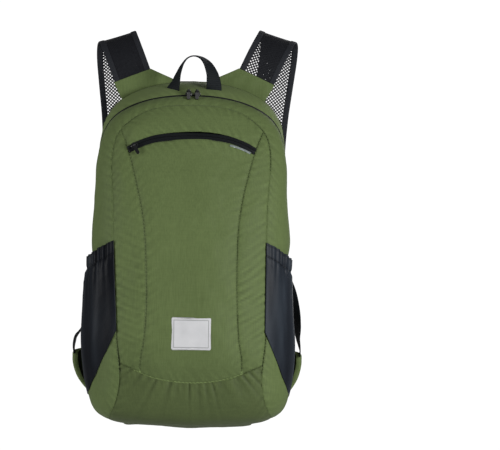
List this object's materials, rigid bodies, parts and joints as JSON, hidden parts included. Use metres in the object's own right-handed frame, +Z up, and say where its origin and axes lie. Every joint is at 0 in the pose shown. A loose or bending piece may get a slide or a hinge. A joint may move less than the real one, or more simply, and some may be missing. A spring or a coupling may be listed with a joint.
{
  "type": "packable backpack",
  "caption": "Packable ripstop backpack with a curved main zip, front zip pocket, stretch side pockets, haul loop and open net shoulder straps, shown filled and worn.",
  "frame": {"origin": "where the straps rest on the shoulders: behind the bag, in the middle, just under the strap crowns", "axes": "+Z up, -Y towards the front of the bag, +X to the right as the front is looked at"},
  "size_m": [0.299, 0.2753, 0.5151],
  "materials": {
    "olive_ripstop": "thin coated ripstop nylon with a fine grain, a soft sheen and small puckers at the seams",
    "dark_olive_ripstop": "the same thin coated nylon in a slightly deeper green",
    "black_stretch": "smooth black stretch knit with a soft sheen",
    "black_webbing": "ribbed black polyester webbing, matte",
    "black_net": "open black net with small diamond holes",
    "black_binding": "folded black grosgrain edge tape",
    "black_zip": "coated black zip tape over a fine coil",
    "zip_metal": "glossy black painted metal",
    "black_plastic": "smooth black moulded plastic",
    "white_label": "smooth pale woven label, left bare",
    "grey_trim": "thin reflective grey trim"
  },
  "bodies": {
    "pack": {"front_centre": "olive_ripstop", "front_upper": "olive_ripstop", "front_left": "olive_ripstop", "front_right": "olive_ripstop", "base_panel": "dark_olive_ripstop", "side_band": "olive_ripstop", "yoke": "dark_olive_ripstop", "back_panel": "dark_olive_ripstop", "main_zip": "black_zip", "pocket_zip": "black_zip", "pocket_zip_lip": "grey_trim", "label_patch": "white_label", "left_side_pocket": "black_stretch", "right_side_pocket": "black_stretch", "haul_loop": "black_webbing", "left_strap_net": "black_net", "left_strap_inner_binding": "black_binding", "left_strap_outer_binding": "black_binding", "left_strap_root": "olive_ripstop", "left_buckle": "black_plastic", "left_webbing": "black_webbing", "left_wing": "olive_ripstop", "right_strap_net": "black_net", "right_strap_inner_binding": "black_binding", "right_strap_outer_binding": "black_binding", "right_strap_root": "olive_ripstop", "right_buckle": "black_plastic", "right_webbing": "black_webbing", "right_wing": "olive_ripstop", "left_slider": "zip_metal", "right_slider": "zip_metal", "pocket_slider": "zip_metal"},
    "left_pull_tab": {"left_pull": "zip_metal"},
    "right_pull_tab": {"right_pull": "zip_metal"},
    "pocket_pull_tab": {"pocket_pull": "zip_metal"}
  },
  "joints": [
    {"name": "left_pull_lift", "type": "hinge", "parent": "pack", "child": "left_pull_tab", "pos_m": [-0.0055, -0.10881, -0.06789], "axis": [-1, 0, 0], "range_deg": [0, 150]},
    {"name": "right_pull_lift", "type": "hinge", "parent": "pack", "child": "right_pull_tab", "pos_m": [0.0055, -0.10881, -0.06789], "axis": [-1, 0, 0], "range_deg": [0, 150]},
    {"name": "pocket_pull_lift", "type": "hinge", "parent": "pack", "child": "pocket_pull_tab", "pos_m": [-0.07518, -0.15525, -0.13747], "axis": [-0.8881, -0.0169, -0.4593], "range_deg": [0, 150]}
  ]
}
